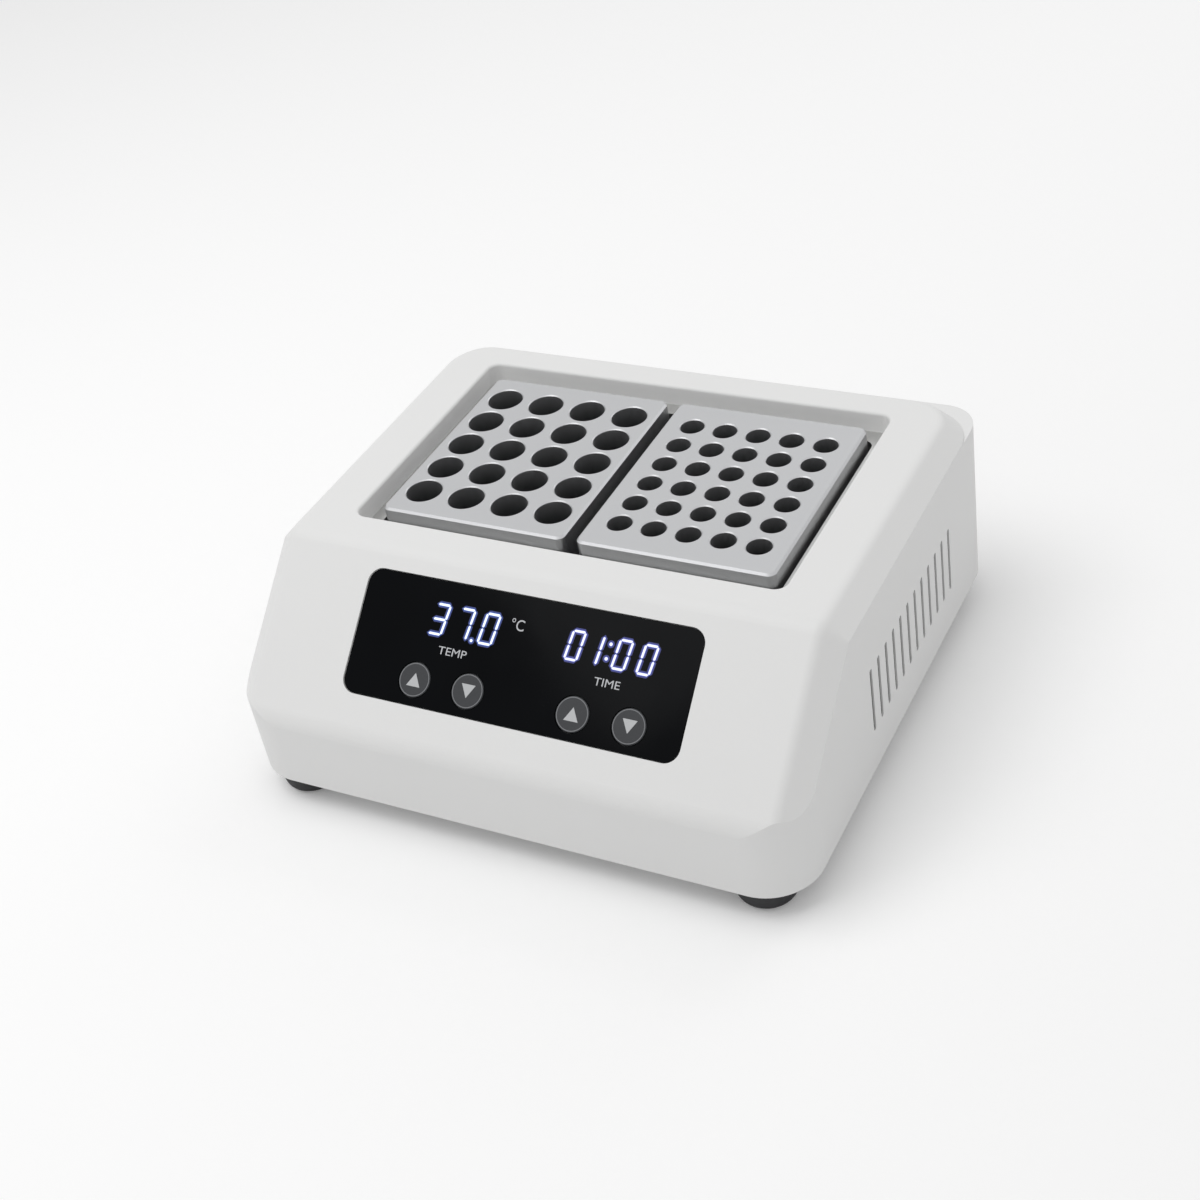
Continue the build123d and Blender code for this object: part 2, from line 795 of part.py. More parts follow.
def drilled_block(middle_x, bore, bore_depth, pitch_x, pitch_y, columns, rows):
    """A block with a grid of blind wells, chamfered round its top and round each well."""
    top = Plane.XY.offset(block_top_z)
    with BuildPart() as block:
        with BuildSketch(Plane.XY.offset(block_bottom_z)):
            with Locations((middle_x, well_centre_y)):
                RectangleRounded(block_width, block_depth, block_corner_radius)
        extrude(amount=block_height)
        chamfer(block.edges().group_by(Axis.Z)[-1], block_chamfer)
        chamfer(block.edges().group_by(Axis.Z)[0], block_chamfer)
        with BuildSketch(top):
            with Locations((middle_x, well_centre_y)):
                with GridLocations(pitch_x, pitch_y, columns, rows):
                    Circle(bore / 2)
        extrude(amount=-bore_depth, mode=Mode.SUBTRACT)
        mouths = block.edges().group_by(Axis.Z)[-1].filter_by(GeomType.CIRCLE)
        wells = mouths.filter_by(lambda edge: abs(edge.radius - bore / 2) < well_rim_chamfer)
        chamfer(wells, well_rim_chamfer)
    return block.part


left_block = drilled_block(
    block_places["left_block"],
    large_bore,
    large_bore_depth,
    large_pitch_x,
    large_pitch_y,
    large_columns,
    large_rows,
)
finish(left_block, "left_block")
right_block = drilled_block(
    block_places["right_block"],
    small_bore,
    small_bore_depth,
    small_pitch_x,
    small_pitch_y,
    small_columns,
    small_rows,
)
finish(right_block, "right_block")

# Power board on the base plate's standoffs, with its transformer, capacitors and heat sink
power_board_bottom = base_top_z + standoff_height
power_board_top = power_board_bottom + board_thickness
with BuildPart() as power_board:
    with BuildSketch(Plane.XY.offset(power_board_bottom)):
        with Locations((power_board_centre_x, power_board_centre_y)):
            RectangleRounded(power_board_width, power_board_depth, board_corner_radius)
        with Locations(*power_screw_places):
            Circle(small_screw_hole / 2, mode=Mode.SUBTRACT)
    extrude(amount=board_thickness)
finish(power_board.part, "power_board")

finish(
    screws(
        Plane.XY.offset(power_board_top),
        power_screw_places,
        small_screw_diameter,
        small_screw_head,
        small_screw_head_height,
        power_screw_length,
    ),
    "power_board_screws",
)

with BuildPart() as transformer:
    core_width, core_depth, core_height = transformer_size
    core_x = power_board_centre_x - power_board_width / 2 + power_screw_inset + small_boss + core_width / 2
    with BuildSketch(Plane.XY.offset(power_board_top)):
        with Locations((core_x, power_board_centre_y)):
            Rectangle(core_width, transformer_core_thickness)
    extrude(amount=core_height)
    with BuildSketch(Plane.XY.offset(power_board_top)):
        with Locations((core_x, power_board_centre_y)):
            RectangleRounded(core_width * transformer_coil_share, core_depth, board_corner_radius)
    extrude(amount=core_height - board_corner_radius)
finish(transformer.part, "transformer")

with BuildPart() as capacitors:
    with BuildSketch(Plane.XY.offset(power_board_top)):
        with Locations((power_board_centre_x + capacitor_offset_x, power_board_centre_y)):
            with GridLocations(1, capacitor_pitch, 1, 2):
                Circle(capacitor_diameter / 2)
    extrude(amount=capacitor_height)
    fillet(capacitors.edges().group_by(Axis.Z)[-1], capacitor_edge_round)
finish(capacitors.part, "capacitors")

with BuildPart() as heat_sink:
    sink_width, sink_depth, sink_height = heat_sink_size
    sink_x = power_board_centre_x + power_board_width / 2 - power_screw_inset - small_boss - sink_width / 2
    fin_pitch = (sink_width - heat_sink_fin) / (heat_sink_fins - 1)
    with BuildSketch(Plane.XY.offset(power_board_top)):
        with Locations((sink_x, power_board_centre_y + (sink_depth - heat_sink_base) / 2)):
            Rectangle(sink_width, heat_sink_base)
        with Locations((sink_x, power_board_centre_y)):
            with GridLocations(fin_pitch, 1, heat_sink_fins, 1):
                Rectangle(heat_sink_fin, sink_depth)
    extrude(amount=sink_height)
finish(heat_sink.part, "heat_sink")

# Power inlet: a flanged moulding with the mains socket above and the fuse drawer's pocket below
drawer_z = inlet_z - drawer_below_middle
socket_z = inlet_z + socket_above_middle
socket_floor = inlet_flange_thickness - socket_depth
with BuildPart() as power_inlet:
    with BuildSketch(on_rear(inlet_x, inlet_z)):
        RectangleRounded(inlet_flange_width, inlet_flange_height, inlet_corner_radius)
    extrude(amount=inlet_flange_thickness)
    fillet(power_inlet.faces().sort_by(Axis.Y)[-1].edges(), inlet_corner_radius / 4)
    with BuildSketch(on_rear(inlet_x, inlet_z)):
        Rectangle(inlet_body_width, inlet_body_height)
    extrude(amount=-inlet_body_depth)
    with BuildSketch(on_rear(inlet_x, inlet_z, -wall - cutout_gap)):
        Rectangle(inlet_body_width + 2 * snap_lug_reach, snap_lug_width)
    extrude(amount=-snap_lug_thickness)
    with BuildSketch(on_rear(inlet_x, socket_z, inlet_flange_thickness)):
        socket = Rectangle(socket_width, socket_height)
        chamfer(socket.vertices().group_by(Axis.Y)[-1], socket_chamfer)
    extrude(amount=-socket_depth, mode=Mode.SUBTRACT)
    with BuildSketch(on_rear(inlet_x, socket_z, socket_floor)):
        with Locations((-pin_spacing / 2, -earth_offset / 2), (pin_spacing / 2, -earth_offset / 2)):
            Rectangle(pin_width, pin_height)
        with Locations((0, earth_offset / 2)):
            Rectangle(pin_width, pin_height)
    extrude(amount=-inlet_body_depth, mode=Mode.SUBTRACT)
    with BuildSketch(on_rear(inlet_x, drawer_z, inlet_flange_thickness)):
        Rectangle(drawer_width + 2 * drawer_gap, drawer_height + 2 * drawer_gap)
    extrude(amount=-drawer_depth - drawer_gap, mode=Mode.SUBTRACT)
finish(power_inlet.part, "power_inlet")

with BuildPart() as inlet_pins:
    with BuildSketch(on_rear(inlet_x, socket_z, socket_floor)):
        with Locations((-pin_spacing / 2, -earth_offset / 2), (pin_spacing / 2, -earth_offset / 2)):
            Rectangle(pin_width, pin_height)
        with Locations((0, earth_offset / 2)):
            Rectangle(pin_width, pin_height)
    extrude(amount=pin_reach)
    with BuildSketch(on_rear(inlet_x, socket_z, socket_floor)):
        with Locations((-pin_spacing / 2, -earth_offset / 2), (pin_spacing / 2, -earth_offset / 2)):
            Rectangle(pin_width, pin_height)
        with Locations((0, earth_offset / 2)):
            Rectangle(pin_width, pin_height)
    extrude(amount=-(inlet_body_depth + socket_floor) - pin_tail)
finish(inlet_pins.part, "inlet_pins")

with BuildPart() as fuse_drawer:
    with BuildSketch(on_rear(inlet_x, drawer_z, inlet_flange_thickness)):
        Rectangle(drawer_width, drawer_height)
    extrude(amount=-drawer_depth)
    with BuildSketch(on_rear(inlet_x, drawer_z, inlet_flange_thickness + drawer_gap)):
        RectangleRounded(
            drawer_width + 2 * drawer_front_margin, drawer_height + 2 * drawer_front_margin, drawer_front_margin
        )
    extrude(amount=drawer_front_thickness)
    with BuildSketch(on_rear(inlet_x, drawer_z, inlet_flange_thickness)):
        Rectangle(drawer_width, drawer_height)
    extrude(amount=drawer_gap)
    with BuildSketch(Plane.XY.offset(drawer_z + drawer_height / 2)):
        with Locations((inlet_x, rear_y + inlet_flange_thickness - drawer_depth / 2)):
            Rectangle(fuse_length + 2 * fuse_gap, fuse_diameter + 2 * fuse_gap)
    extrude(amount=-(drawer_height + fuse_diameter) / 2 - fuse_gap, mode=Mode.SUBTRACT)
finish(fuse_drawer.part, "fuse_drawer")

with BuildPart() as fuse:
    fuse_middle = (inlet_x - fuse_length / 2, rear_y + inlet_flange_thickness - drawer_depth / 2, drawer_z)
    with BuildSketch(Plane(origin=fuse_middle, x_dir=(0, 1, 0), z_dir=(1, 0, 0))):
        Circle(fuse_diameter / 2)
    extrude(amount=fuse_length)
finish(fuse.part, "fuse")

# Power switch: a frame snapped into the rear wall, and the rocker that tips in it
pivot_out = rocker_frame_thickness - rocker_pivot_below
pivot_y = rear_y + pivot_out
pocket_width = rocker_body_width - 2 * rocker_wall
pocket_height = rocker_body_height - 2 * rocker_wall
rocker_width = pocket_width - 2 * rocker_gap
rocker_reach = pocket_height / 2 - rocker_gap
pin_hole = rocker_pin_diameter + 2 * rocker_pin_gap
pin_hole_reach = pocket_width + 2 * (rocker_pin_length + rocker_pin_gap) - 2 * rocker_gap
with BuildPart() as switch_frame:
    with BuildSketch(on_rear(rocker_x, rocker_z)):
        RectangleRounded(rocker_frame_width, rocker_frame_height, rocker_wall)
    extrude(amount=rocker_frame_thickness)
    with BuildSketch(on_rear(rocker_x, rocker_z)):
        Rectangle(rocker_body_width, rocker_body_height)
    extrude(amount=-rocker_body_depth)
    with BuildSketch(on_rear(rocker_x, rocker_z, -wall - cutout_gap)):
        Rectangle(snap_lug_width, rocker_body_height + 2 * snap_lug_reach)
    extrude(amount=-snap_lug_thickness)
    with BuildSketch(on_rear(rocker_x, rocker_z, rocker_frame_thickness)):
        Rectangle(pocket_width, pocket_height)
    extrude(amount=-rocker_pocket_depth, mode=Mode.SUBTRACT)
    with BuildSketch(Plane.YZ.offset(rocker_x - pin_hole_reach / 2)):
        with Locations((pivot_y, rocker_z)):
            Circle(pin_hole / 2)
    extrude(amount=pin_hole_reach, mode=Mode.SUBTRACT)
finish(switch_frame.part, "switch_frame")

# The rocker's ends are arcs about its pivot, so they clear the frame as it tips. Its face is two
# flats that meet in a shallow valley, and it rests with its lower half pressed in
tilt = radians(rocker_angle)
valley = rocker_pivot_below + rocker_lift
face_slope = tan(tilt)


def tipped(along):
    """The rocker's side view at a place along its pivot: X away from the housing, Y up."""
    return Plane(
        origin=(rocker_x + along, pivot_y, rocker_z),
        x_dir=(0, cos(tilt), -sin(tilt)),
        z_dir=(1, 0, 0),
    )


with BuildPart() as power_rocker:
    with BuildSketch(tipped(-rocker_width / 2)):
        Circle(rocker_reach)
        with BuildLine():
            Polyline(
                (-rocker_tail, -rocker_reach),
                (valley + face_slope * rocker_reach, -rocker_reach),
                (valley, 0),
                (valley + face_slope * rocker_reach, rocker_reach),
                (-rocker_tail, rocker_reach),
                close=True,
            )
        make_face(mode=Mode.INTERSECT)
    extrude(amount=rocker_width)
    with BuildSketch(tipped(-rocker_width / 2 - rocker_pin_length)):
        Circle(rocker_pin_diameter / 2)
    extrude(amount=rocker_width + 2 * rocker_pin_length)
finish(power_rocker.part, "power_rocker")
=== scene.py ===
from math import atan2, cos, pi, sin

import bmesh
import bpy
from mathutils import Matrix, Vector


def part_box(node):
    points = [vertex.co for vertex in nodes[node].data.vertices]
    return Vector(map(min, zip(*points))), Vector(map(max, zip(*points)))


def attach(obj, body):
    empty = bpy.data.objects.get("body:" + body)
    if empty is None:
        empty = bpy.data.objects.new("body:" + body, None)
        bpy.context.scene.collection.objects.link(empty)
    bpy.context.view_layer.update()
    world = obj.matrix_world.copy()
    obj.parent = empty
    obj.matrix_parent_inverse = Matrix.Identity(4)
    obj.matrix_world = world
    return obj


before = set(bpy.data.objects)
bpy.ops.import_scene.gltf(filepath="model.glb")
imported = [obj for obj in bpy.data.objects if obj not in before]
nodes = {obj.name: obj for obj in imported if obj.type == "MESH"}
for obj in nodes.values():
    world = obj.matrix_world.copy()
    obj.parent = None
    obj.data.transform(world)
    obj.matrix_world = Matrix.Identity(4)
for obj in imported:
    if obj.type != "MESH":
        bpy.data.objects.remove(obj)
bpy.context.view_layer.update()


# ---- Housing ---------------------------------------------------------------------------------
# One injection moulded cover in matt white plastic, with a fine spark-eroded texture. The deck,
# the sloped front, the inclined band and the vents are all part of the same moulding.
class Value:
    """A shader socket that can stand in a sum."""

    def __init__(self, look, socket):
        self.look = look
        self.socket = socket

    def _sum(self, operation, first, second):
        return self.look.node("ShaderNodeMath", {"operation": operation}, {0: first, 1: second})

    def __add__(self, other):
        return self._sum("ADD", self, other)

    def __radd__(self, other):
        return self._sum("ADD", other, self)

    def __sub__(self, other):
        return self._sum("SUBTRACT", self, other)

    def __rsub__(self, other):
        return self._sum("SUBTRACT", other, self)

    def __mul__(self, other):
        return self._sum("MULTIPLY", self, other)

    def __rmul__(self, other):
        return self._sum("MULTIPLY", other, self)

    def __gt__(self, other):
        return self._sum("GREATER_THAN", self, other)

    def __lt__(self, other):
        return self._sum("LESS_THAN", self, other)


class Look:
    """A finish: one shader and the nodes that vary it over a surface."""

    def __init__(self, name, **constants):
        self.material = bpy.data.materials.new(name)
        self.material.use_nodes = True
        self.tree = self.material.node_tree
        self.shader = self.tree.nodes["Principled BSDF"]
        for key, value in constants.items():
            self.give(key.replace("_", " "), value)

    def give(self, socket, value):
        self._fill(self.shader.inputs[socket], value)

    def _fill(self, socket, value):
        if isinstance(value, Value):
            self.tree.links.new(value.socket, socket)
        elif isinstance(value, tuple) and len(value) == 3 and socket.type == "RGBA":
            socket.default_value = (*value, 1.0)
        else:
            socket.default_value = value

    def node(self, kind, settings=None, sockets=None, output=0):
        made = self.tree.nodes.new(kind)
        for key, value in (settings or {}).items():
            setattr(made, key, value)
        for place, value in (sockets or {}).items():
            self._fill(made.inputs[place], value)
        return Value(self, made.outputs[output])

    def place(self):
        return self.node("ShaderNodeTexCoord", output="Object")

    def axis(self, vector, index):
        return self.node("ShaderNodeSeparateXYZ", sockets={0: vector}, output=index)

    def size_of(self, value):
        return self.node("ShaderNodeMath", {"operation": "ABSOLUTE"}, {0: value})

    def noise(self, scale, detail=2.0, stretch=(1.0, 1.0, 1.0)):
        where = self.node("ShaderNodeMapping", sockets={"Vector": self.place(), "Scale": stretch})
        sockets = {"Vector": where, "Scale": scale, "Detail": detail}
        return self.node("ShaderNodeTexNoise", sockets=sockets)

    def between(self, share, first, second):
        colours = {0: share, 6: first, 7: second}
        return self.node("ShaderNodeMix", {"data_type": "RGBA"}, colours, 2)

    def varied(self, share, colour, spread):
        """A colour that goes a little darker and lighter with the share."""
        return self.between(share, shade(colour, 1 - spread), shade(colour, 1 + spread))

    def grained(self, grain, roughness, swing, depth):
        """A fine grain in the roughness and the relief. The roughness swings to both sides."""
        self.give("Roughness", roughness - swing + grain * (2 * swing))
        self.give("Normal", self.node("ShaderNodeBump", sockets={"Height": grain, "Distance": depth}))


def shade(colour, share):
    return tuple(min(1.0, part * share) for part in colour)


cloud_scale = 35.0
grain_detail = 3.0
plastic_swing = 0.06


def moulded(name, colour, roughness, grain=1400.0, depth=0.00002, spread=0.03, **constants):
    """Moulded plastic, rubber or foam: a faint cloud of tone and a fine grain."""
    look = Look(name, **constants)
    look.give("Base Color", look.varied(look.noise(cloud_scale), colour, spread))
    look.grained(look.noise(grain, grain_detail), roughness, plastic_swing, depth)
    return look


def dress(look, *names):
    for name in names:
        slots = nodes[name].data.materials
        slots.clear()
        slots.append(look.material)
        for face in nodes[name].data.polygons:
            face.material_index = 0


mm = 0.001
housing_white = (0.80, 0.80, 0.795)
housing_spread = 0.008
# painted shade: the dark grey, and the box inside the housing where it is painted
vent_shade_grey = (0.035, 0.035, 0.037)
vent_shade_reach = ((89.5, 112.3), (-50.0, 75.0), (20.0, 64.0))
housing = Look("housing_white")
housing.grained(housing.noise(1800.0, grain_detail), 0.50, plastic_swing, 0.000012)
# behind the vents, the inside of the wall is painted dark grey: painted shade for the dark inside of the
# closed housing, seen through the vents
housing_axes = [housing.axis(housing.place(), index) for index in range(3)]
housing_axes[0] = housing.size_of(housing_axes[0])
vent_shade_mask = 1.0
for along, (start, stop) in zip(housing_axes, vent_shade_reach):
    vent_shade_mask = (along > start * mm) * (along < stop * mm) * vent_shade_mask
plain_white = housing.varied(housing.noise(cloud_scale), housing_white, housing_spread)
housing.give("Base Color", housing.between(vent_shade_mask, plain_white, vent_shade_grey))
dress(housing, "top_cover")

# ---- Base, feet and screws -------------------------------------------------------------------
# The base is a flat grey moulding that closes the housing from below. Four black rubber feet are
# screwed through it. All the screws are zinc plated steel; those of the feet sit up inside them.
base_grey = moulded("base_grey", (0.42, 0.42, 0.415), roughness=0.55)
dress(base_grey, "base_plate")
foot_rubber = moulded(
    "foot_rubber", (0.016, 0.016, 0.018), roughness=0.62, grain=900.0, depth=0.00003, spread=0.12
)
dress(foot_rubber, "foot_front_left", "foot_front_right", "foot_rear_left", "foot_rear_right")

metal_spread = 0.04
metal_swing = 0.08
metal_depth = 0.000008


def metal(name, colour, roughness, grain=1500.0, stretch=(1.0, 1.0, 1.0)):
    """Bare metal: a fine grain, drawn out along one way where it is brushed or milled."""
    look = Look(name, Metallic=1.0)
    fine = look.noise(grain, grain_detail, stretch)
    look.give("Base Color", look.varied(fine, colour, metal_spread))
    look.grained(fine, roughness, metal_swing, metal_depth)
    return look


screw_zinc = metal("screw_zinc", (0.60, 0.60, 0.61), roughness=0.32)
dress(screw_zinc, "foot_screws", "control_board_screws", "power_board_screws")
dress(screw_zinc, "liner_screws", "clamp_screws")

# ---- Control panel ---------------------------------------------------------------------------
# A glossy black plate let into the slope, back printed, so its face is smooth. The lit numbers
# show through it, and the four keys come up through round holes.
panel_black = moulded(
    "panel_black",
    (0.0022, 0.0026, 0.0034),
    roughness=0.10,
    grain=60.0,
    depth=0.0000006,
    spread=0.3,
    Specular_IOR_Level=0.04,
)
dress(panel_black, "control_panel")

# ---- Printed labels --------------------------------------------------------------------------
# Pale grey print on the panel's face, no thicker than ink: what each number means, in plain
# capitals, and the unit of the temperature.
front_y = -102.0
fold_z = 41.5
slope_angle = atan2(46.5, 53.6)
panel_face = -0.6
ink = 0.03
letter_steps = 4


def on_slope(across, up, out):
    """A point on the sloped front, in metres: across it, up it from the fold, and out of it."""
    return Vector(
        (
            across * mm,
            (front_y + up * cos(slope_angle) - out * sin(slope_angle)) * mm,
            (fold_z + up * sin(slope_angle) + out * cos(slope_angle)) * mm,
        )
    )


def finish_piece(name, mesh, look, body):
    mesh.materials.append(look.material)
    piece = bpy.data.objects.new(name, mesh)
    bpy.context.scene.collection.objects.link(piece)
    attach(piece, body)


def label(name, text, left, bottom, right, top, look):
    """Printed text that fills a rectangle on the slope."""
    letters = bpy.data.curves.new(name, "FONT")
    letters.body = text
    letters.extrude = ink / 2
    letters.resolution_u = letter_steps
    holder = bpy.data.objects.new(name, letters)
    bpy.context.scene.collection.objects.link(holder)
    bpy.context.view_layer.update()
    seen = holder.evaluated_get(bpy.context.evaluated_depsgraph_get())
    mesh = bpy.data.meshes.new_from_object(seen)
    mesh.name = name
    bpy.data.objects.remove(holder)
    xs = [point.co.x for point in mesh.vertices]
    ys = [point.co.y for point in mesh.vertices]
    wide = (right - left) / (max(xs) - min(xs))
    high = (top - bottom) / (max(ys) - min(ys))
    for point in mesh.vertices:
        across = left + (point.co.x - min(xs)) * wide
        up = bottom + (point.co.y - min(ys)) * high
        point.co = on_slope(across, up, panel_face + ink / 2 + point.co.z)
    finish_piece(name, mesh, look, "frame")


label_print = moulded("label_print", (0.52, 0.53, 0.55), roughness=0.45, spread=0.05)
label("temp_label", "TEMP", left=-31.9, bottom=36.0, right=-20.3, top=38.8, look=label_print)
label("time_label", "TIME", left=30.3, bottom=36.55, right=40.2, top=39.3, look=label_print)
label("degree_label", "°C", left=-5.85, bottom=49.5, right=-0.69, top=53.7, look=label_print)

# ---- Lit numbers -----------------------------------------------------------------------------
# Seven bar characters of the two displays, which shine through the panel: white bars, and blue
# light that spreads round them in the plate, in three fainter and thinner layers.
bar_width = 0.82
bar_gap = 0.14
digit_lean = 0.125
bars_lit = {"0": "abcdef", "1": "bc", "3": "abcdg", "7": "abc"}
halo_steps = ((0.0, 0.05), (0.16, 0.035), (0.40, 0.02), (0.75, 0.008))


def bar_outline(corner, width, height, bar, grow):
    """One bar of a character as six points, widened all round by grow."""
    half = bar_width / 2
    left, low = corner
    ends = {
        "a": ((half, height - half), (width - half, height - half)),
        "d": ((half, half), (width - half, half)),
        "g": ((half, height / 2), (width - half, height / 2)),
        "f": ((half, height / 2), (half, height - half)),
        "b": ((width - half, height / 2), (width - half, height - half)),
        "e": ((half, half), (half, height / 2)),
        "c": ((width - half, half), (width - half, height / 2)),
    }
    first, last = (Vector(point) for point in ends[bar])
    along = (last - first).normalized()
    aside = Vector((-along.y, along.x)) * (half + grow)
    first = first + along * (bar_gap - grow)
    last = last - along * (bar_gap - grow)
    point_in = along * (half + grow)
    places = [
        first,
        first + point_in - aside,
        last - point_in - aside,
        last,
        last - point_in + aside,
        first + point_in + aside,
    ]
    return [(left + place.x + place.y * digit_lean, low + place.y) for place in places]


def dot_outline(middle, radius, sides=20):
    steps = (2 * pi * step / sides for step in range(sides))
    return [(middle[0] + radius * cos(turn), middle[1] + radius * sin(turn)) for turn in steps]


def raised(name, outlines, low, high, holes=None):
    """Flat shapes on the slope with a little thickness, each with an optional hole."""
    built = bmesh.new()
    for index, outline in enumerate(outlines):
        bottom = [built.verts.new(on_slope(across, up, low)) for across, up in outline]
        top = [built.verts.new(on_slope(across, up, high)) for across, up in outline]
        count = len(outline)
        hole = holes[index] if holes else None
        if hole:
            low_hole = [built.verts.new(on_slope(across, up, low)) for across, up in hole]
            top_hole = [built.verts.new(on_slope(across, up, high)) for across, up in hole]
        else:
            built.faces.new(top)
            built.faces.new(bottom[::-1])
        for step in range(count):
            after = (step + 1) % count
            built.faces.new((bottom[step], bottom[after], top[after], top[step]))
            if hole:
                built.faces.new((top[step], top[after], top_hole[after], top_hole[step]))
                built.faces.new((bottom[after], bottom[step], low_hole[step], low_hole[after]))
                built.faces.new((top_hole[step], top_hole[after], low_hole[after], low_hole[step]))
    bmesh.ops.recalc_face_normals(built, faces=built.faces)
    mesh = bpy.data.meshes.new(name)
    built.to_mesh(mesh)
    built.free()
    return mesh


lit_cloud_scale = 300.0
unlit_share = 0.33


def lit(name, colour, strength):
    """Light behind the plate, a little uneven, and the same colour but dull where it is off."""
    look = Look(name, Emission_Strength=strength, Roughness=0.4)
    cloud = look.noise(lit_cloud_scale)
    look.give("Base Color", look.varied(cloud, shade(colour, unlit_share), 0.09))
    look.give("Emission Color", look.between(cloud, shade(colour, 0.96), colour))
    return look


def number(name, characters, dots, core, halo):
    """The bars and dots of one display, and the halo under them in thin layers."""
    for layer, (grow, lift) in enumerate(halo_steps):
        shapes = []
        for text, corner, width, height in characters:
            shapes += [bar_outline(corner, width, height, bar, grow) for bar in bars_lit[text]]
        shapes += [dot_outline(middle, radius + grow) for middle, radius in dots]
        piece_name = f"{name}_halo_{layer}" if layer else name
        look = halo[layer - 1] if layer else core
        mesh = raised(piece_name, shapes, panel_face, panel_face + lift)
        finish_piece(piece_name, mesh, look, "frame")


temp_core = lit("digit_core", (0.86, 0.93, 1.0), 1.0)
temp_halo = [
    lit("temp_halo_1", (0.06, 0.18, 0.75), 0.50),
    lit("temp_halo_2", (0.04, 0.11, 0.60), 0.16),
    lit("temp_halo_3", (0.03, 0.08, 0.50), 0.04),
]
time_core = lit("time_core", (0.84, 0.86, 1.0), 0.96)
time_halo = [
    lit("time_halo_1", (0.10, 0.15, 0.75), 0.50),
    lit("time_halo_2", (0.07, 0.10, 0.60), 0.16),
    lit("time_halo_3", (0.05, 0.07, 0.50), 0.04),
]
# each character: what it reads, its lower left corner, its width and its height
temp_characters = [
    ("3", (-38.1, 42.3), 5.9, 11.6),
    ("7", (-27.9, 42.3), 5.9, 11.6),
    ("0", (-17.7, 42.3), 6.0, 11.6),
]
time_characters = [
    ("0", (16.75, 43.0), 5.45, 10.9),
    ("1", (24.1, 43.0), 5.45, 10.9),
    ("0", (34.9, 43.0), 5.45, 10.9),
    ("0", (44.45, 43.0), 5.45, 10.9),
]
# each dot: its middle and its radius
temp_point = [((-19.9, 42.9), 0.55)]
time_colon = [((33.3, 51.3), 0.6), ((32.8, 46.1), 0.6)]
number("temp_digits", temp_characters, temp_point, temp_core, temp_halo)
number("time_digits", time_characters, time_colon, time_core, time_halo)

# ---- Keys ------------------------------------------------------------------------------------
# Four round satin keys in dark grey plastic, each with a printed ring near its edge and a printed
# triangle that points up or down. They press into the slope, against their switches.
key_grey = moulded(
    "key_grey", (0.034, 0.036, 0.040), roughness=0.38, spread=0.06, Specular_IOR_Level=0.3
)
key_print = moulded("key_print", (0.50, 0.51, 0.52), roughness=0.45, spread=0.05)
ring_print = moulded("ring_print", (0.17, 0.175, 0.185), roughness=0.45, spread=0.05)
key_up_slope = 25.2
key_face = panel_face + 0.2
key_places = {
    "temp_up_key": -38.3,
    "temp_down_key": -16.4,
    "time_up_key": 25.3,
    "time_down_key": 46.9,
}
triangle_width = 5.6
triangle_height = 4.9
ring_radius = 6.0
ring_width = 0.32
ring_sides = 64
dress(key_grey, *key_places)
for key, across in key_places.items():
    middle = (across, key_up_slope)
    tip = triangle_height / 2 if "up" in key else -triangle_height / 2
    triangle = [
        (across - triangle_width / 2, middle[1] - tip),
        (across + triangle_width / 2, middle[1] - tip),
        (across, middle[1] + tip),
    ]
    arrow = raised(f"{key}_arrow", [triangle], key_face, key_face + ink)
    finish_piece(f"{key}_arrow", arrow, key_print, key)
    outer = dot_outline(middle, ring_radius, ring_sides)
    inner = dot_outline(middle, ring_radius - ring_width, ring_sides)
    ring = raised(f"{key}_ring", [outer], key_face, key_face + ink, [inner])
    finish_piece(f"{key}_ring", ring, ring_print, key)

# ---- Boards and displays ---------------------------------------------------------------------
# Green lacquered circuit boards behind the panel and on the base, with black display modules and
# key switches soldered on. The tracks show as faint lines under the lacquer.
board_green = Look("board_green", Coat_Weight=0.4, Coat_Roughness=0.15)
lacquer_green = (0.012, 0.13, 0.045)
track_green = (0.03, 0.22, 0.08)
track_share = 0.72
wave = {"Vector": board_green.place(), "Scale": 120.0, "Distortion": 6.0}
tracks = board_green.node("ShaderNodeTexWave", {"bands_direction": "X"}, wave) > track_share
board_green.give("Base Color", board_green.between(tracks, lacquer_green, track_green))
board_green.give("Roughness", 0.42 - tracks * 0.08)
dress(board_green, "control_board", "power_board")
display_black = moulded("display_black", (0.012, 0.012, 0.014), roughness=0.25, spread=0.15)
dress(display_black, "temp_display", "time_display", "key_switches")

# ---- Well liner ------------------------------------------------------------------------------
# A folded sheet steel liner. Its flange shows as a light metal frame below the deck, all round
# the blocks, and it is screwed up to the housing from inside.
liner_steel = metal(
    "liner_steel", (0.66, 0.66, 0.65), roughness=0.34, grain=900.0, stretch=(1.0, 12.0, 1.0)
)
dress(liner_steel, "well_liner", "clamp_plate")

# ---- Blocks ----------------------------------------------------------------------------------
# Two aluminium blocks, milled, drilled, bead blasted and anodised clear. The bore walls are painted darker
# grey from just under the rim downwards, as painted shade, with fine turned rings in that grey, and the
# chamfered rims keep the bright silver.
block_silver = (0.50, 0.505, 0.515)
bore_painted_shade = (0.24, 0.245, 0.255)
block_low, block_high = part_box("right_block")
block_edge = 0.002
rim_depth = 0.0008
shade_depth = 0.014
block = Look("block_silver", Metallic=1.0)
block_axes = [block.axis(block.place(), index) for index in range(3)]
facing_up = block.axis(block.node("ShaderNodeNewGeometry", output="Normal"), 2)
